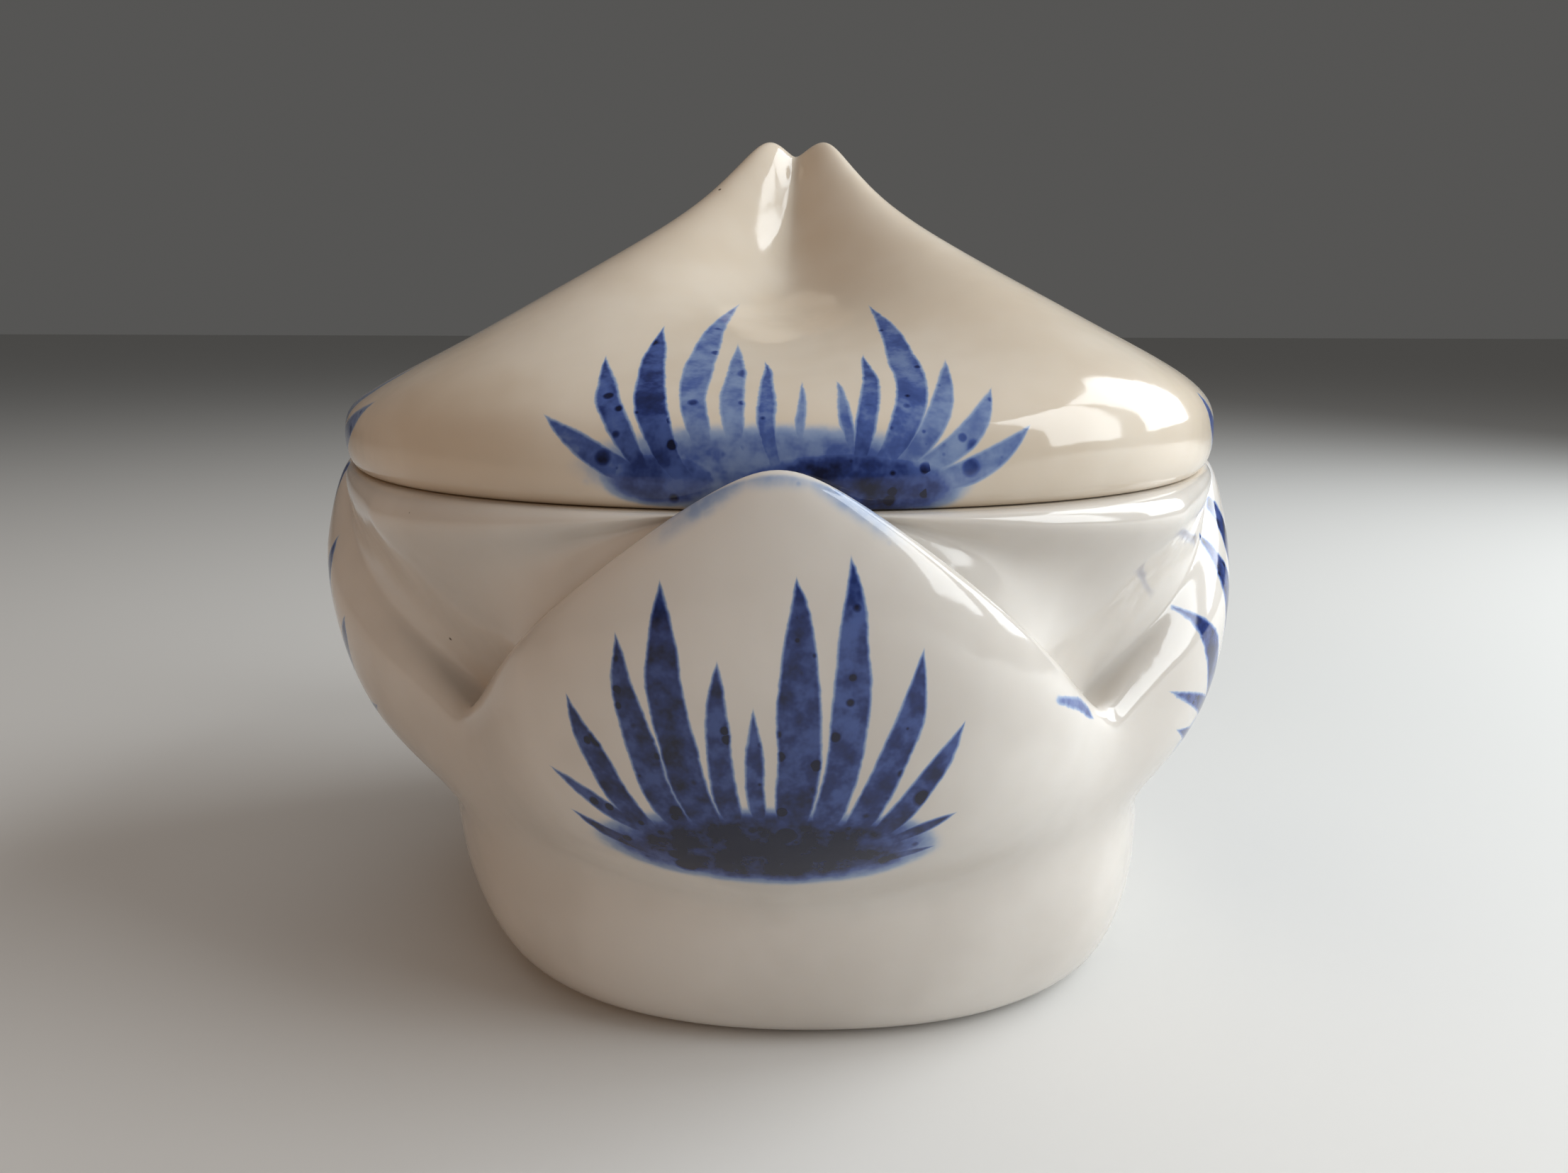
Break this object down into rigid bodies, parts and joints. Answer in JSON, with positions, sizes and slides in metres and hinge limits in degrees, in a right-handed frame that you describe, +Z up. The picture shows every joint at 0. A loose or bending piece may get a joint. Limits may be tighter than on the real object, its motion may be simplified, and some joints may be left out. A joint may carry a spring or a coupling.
{
  "type": "porcelain trinket box",
  "caption": "Small glazed porcelain box: a round bowl wrapped in folded pointed petals, with a lift-off lid whose corner ridges rise to a notched peak.",
  "frame": {"origin": "centre of the foot, in the plane it stands on", "axes": "+Z up along the axis that the petals and the lid's faces repeat round, +X towards the right petal, -Y towards the front petal"},
  "size_m": [0.1073, 0.1072, 0.0919],
  "materials": {
    "body_glaze": "glossy",
    "lid_glaze": "glossy"
  },
  "bodies": {
    "bowl": {"box_body": "body_glaze"},
    "cover": {"lid": "lid_glaze"}
  },
  "joints": [
    {"name": "lid_lift", "type": "slide", "parent": "bowl", "child": "cover", "axis": [0, 0, 1], "range_m": [0, 0.06]}
  ]
}
